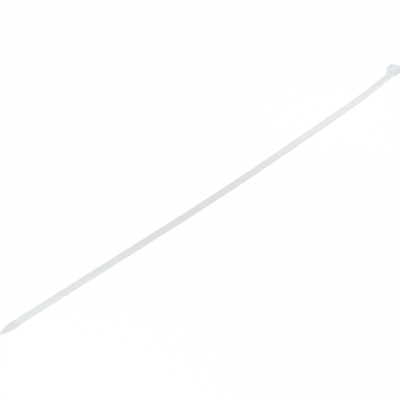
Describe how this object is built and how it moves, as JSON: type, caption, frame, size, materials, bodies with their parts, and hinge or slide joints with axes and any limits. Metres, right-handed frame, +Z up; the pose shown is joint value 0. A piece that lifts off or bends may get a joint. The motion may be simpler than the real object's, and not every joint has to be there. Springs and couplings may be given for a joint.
{
  "type": "cable tie",
  "caption": "One-piece nylon cable tie: long toothed strap with a pointed tail and a slotted locking head with a sprung pawl.",
  "frame": {"origin": "centre of the slot where the strap enters the head, in the plane that the tie lies on", "axes": "+X along the head and away from the strap, +Z up through the slot, the way a threaded strap leaves; the strap runs back along -X and bends gently towards +Y"},
  "size_m": [0.3975, 0.0478, 0.0046],
  "materials": {
    "nylon": "natural off-white nylon, semi-gloss, slightly translucent"
  },
  "bodies": {
    "root": {"cable_tie": "nylon"}
  },
  "joints": []
}
